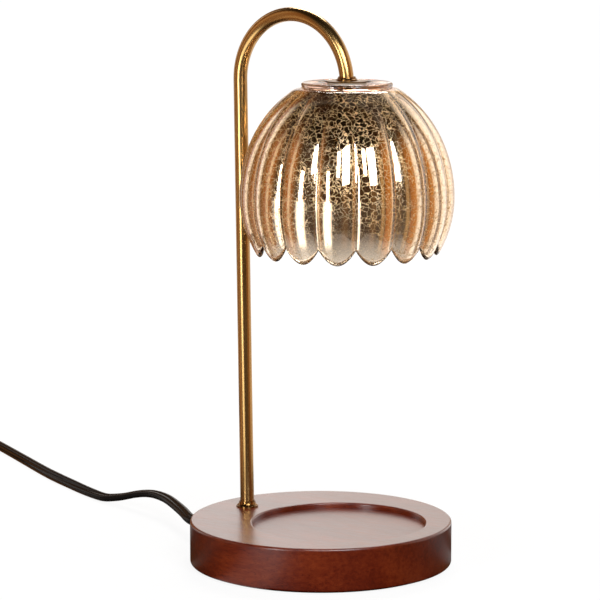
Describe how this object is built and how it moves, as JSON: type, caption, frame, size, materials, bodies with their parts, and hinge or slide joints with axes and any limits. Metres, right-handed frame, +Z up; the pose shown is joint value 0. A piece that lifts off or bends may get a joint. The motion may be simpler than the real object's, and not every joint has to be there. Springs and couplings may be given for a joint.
{
  "type": "candle warmer lamp",
  "caption": "Table lamp that warms a scented candle: round wooden base with a candle recess, fixed brass gooseneck, fluted amber glass shade, dimmer on the lead.",
  "frame": {"origin": "centre of the resting face under the round base", "axes": "+Z up, +X from the post towards the shade, +Y to the left of that"},
  "size_m": [0.5799, 0.2258, 0.3175],
  "materials": {
    "wood": "red-brown stain under satin lacquer",
    "pad": "matte foam rubber",
    "cover": "moulded, matte",
    "steel": "zinc plated",
    "antique_brass": "antique brass plate, satin",
    "contact_brass": "bare brass",
    "lead_sleeve": "silicone insulation",
    "wire": "smooth insulation",
    "crimp_cap": "nylon",
    "cord": "black, semi-gloss",
    "strain_relief": "black, matte",
    "gasket": "silicone",
    "amber_glass": "amber, half silvered with a fine crackle",
    "ceramic": "white glazed",
    "reflector": "aluminised",
    "clear_glass": "clear",
    "black_case": "black, fine texture",
    "board": "green solder mask",
    "pot_metal": "plain"
  },
  "bodies": {
    "lamp": {"wood_base": "wood", "non_slip_pad": "pad", "bottom_cover": "cover", "cover_screws": "steel", "foot_collar": "antique_brass", "gooseneck_tube": "antique_brass", "foot_washer": "steel", "lock_washers": "steel", "clamp_nuts": "steel", "arm_leads": "lead_sleeve", "wire_connectors": "crimp_cap", "cord_conductors": "wire", "cord_grommet": "strain_relief", "top_collar": "antique_brass", "shade_disc": "antique_brass", "top_gasket": "gasket", "glass_shade": "amber_glass", "lower_gasket": "gasket", "socket_cup": "antique_brass", "lampholder_bracket": "steel", "lampholder": "ceramic", "lampholder_screws": "steel", "lampholder_contacts": "contact_brass", "mains_cord": "cord", "dimmer_lower_shell": "black_case", "dimmer_upper_shell": "black_case", "dimmer_screws": "steel", "dimmer_board": "board", "dimmer_pot": "pot_metal", "dimmer_leads": "wire", "cord_feed": "cord", "cord_coil": "cord", "coil_tie": "strain_relief", "cord_plug_run": "cord", "plug_body": "black_case", "plug_blades": "contact_brass"},
    "bulb": {"bulb_base": "ceramic", "bulb_pins": "steel", "bulb_reflector": "reflector", "bulb_lens": "clear_glass", "bulb_capsule": "clear_glass"},
    "dial": {"dimmer_shaft": "pot_metal", "dimmer_knob": "black_case"}
  },
  "joints": [
    {"name": "bulb_twist", "type": "hinge", "parent": "lamp", "child": "bulb", "pos_m": [0.01796, 0, 0.2442], "axis": [0, 0, 1], "range_deg": [-20, 0]},
    {"name": "dimmer_turn", "type": "hinge", "parent": "lamp", "child": "dial", "pos_m": [-0.45115, 0.09513, 0.017], "axis": [0, 0, 1], "range_deg": [-135, 135]}
  ]
}
